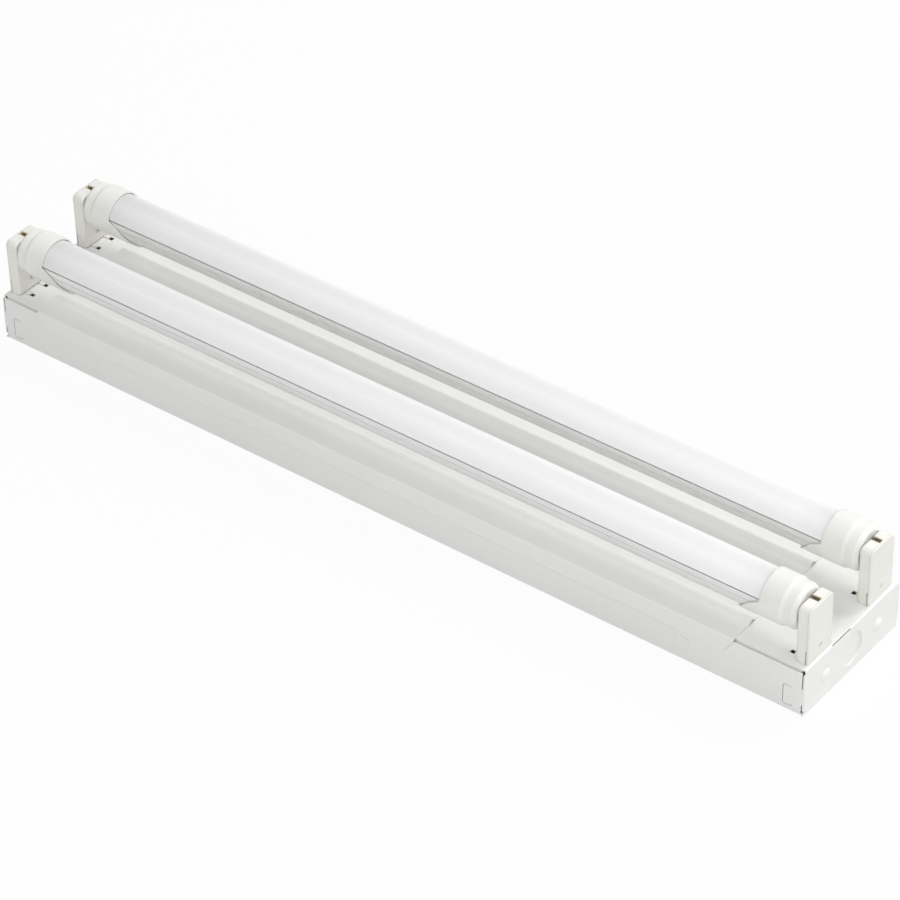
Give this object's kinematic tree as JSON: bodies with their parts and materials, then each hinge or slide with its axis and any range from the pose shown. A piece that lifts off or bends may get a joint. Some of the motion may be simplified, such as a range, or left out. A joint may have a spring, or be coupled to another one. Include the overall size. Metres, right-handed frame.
{
  "type": "ceiling strip light",
  "caption": "Shallow white steel channel light for a ceiling, with bare LED tube lamps between turn-in lampholders over a lift-off cover.",
  "frame": {"origin": "middle of the channel's back face, the side that goes against the ceiling", "axes": "+X along the lamps to the picture's right end, +Y to the far lamp, +Z from the back to the lamps"},
  "size_m": [0.6136, 0.1014, 0.0791],
  "materials": {
    "white_steel": "baked white enamel, satin",
    "holder_plastic": "moulded white thermoplastic",
    "contact_brass": "bright brass strip",
    "diffuser": "frosted polycarbonate",
    "heat_sink": "satin anodised extrusion",
    "cap_plastic": "moulded white plastic",
    "pins": "plated brass",
    "led_board": "white solder resist",
    "led_chips": "phosphor gel",
    "driver_board": "green circuit board",
    "line_insulation": "black wire insulation",
    "neutral_insulation": "white wire insulation",
    "splice_plastic": "orange moulded shell",
    "ground_screw": "green coated steel"
  },
  "bodies": {
    "fixture": {"channel": "white_steel", "end_bracket_left": "white_steel", "end_bracket_right": "white_steel", "ground_screw": "ground_screw", "wire_connectors": "splice_plastic", "line_leads": "line_insulation", "neutral_leads": "neutral_insulation", "lampholder_contacts": "contact_brass", "lampholder_near_left": "holder_plastic", "lampholder_back_near_left": "holder_plastic", "lampholder_near_right": "holder_plastic", "lampholder_back_near_right": "holder_plastic", "lampholder_far_left": "holder_plastic", "lampholder_back_far_left": "holder_plastic", "lampholder_far_right": "holder_plastic", "lampholder_back_far_right": "holder_plastic"},
    "cover": {"channel_cover": "white_steel"},
    "lamp_near": {"lamp_near_heat_sink": "heat_sink", "lamp_near_diffuser": "diffuser", "lamp_near_caps": "cap_plastic", "lamp_near_pins": "pins", "lamp_near_led_board": "led_board", "lamp_near_led_chips": "led_chips", "lamp_near_driver_board": "driver_board"},
    "lamp_far": {"lamp_far_heat_sink": "heat_sink", "lamp_far_diffuser": "diffuser", "lamp_far_caps": "cap_plastic", "lamp_far_pins": "pins", "lamp_far_led_board": "led_board", "lamp_far_led_chips": "led_chips", "lamp_far_driver_board": "driver_board"}
  },
  "joints": [
    {"name": "lamp_near_turn", "type": "hinge", "parent": "fixture", "child": "lamp_near", "pos_m": [0, -0.0316, 0.0636], "axis": [1, 0, 0], "range_deg": [-90, 90]},
    {"name": "lamp_far_turn", "type": "hinge", "parent": "fixture", "child": "lamp_far", "pos_m": [0, 0.0316, 0.0636], "axis": [1, 0, 0], "range_deg": [-90, 90]},
    {"name": "cover_lift", "type": "slide", "parent": "fixture", "child": "cover", "axis": [0, 0, 1], "range_m": [0, 0.0115]}
  ]
}
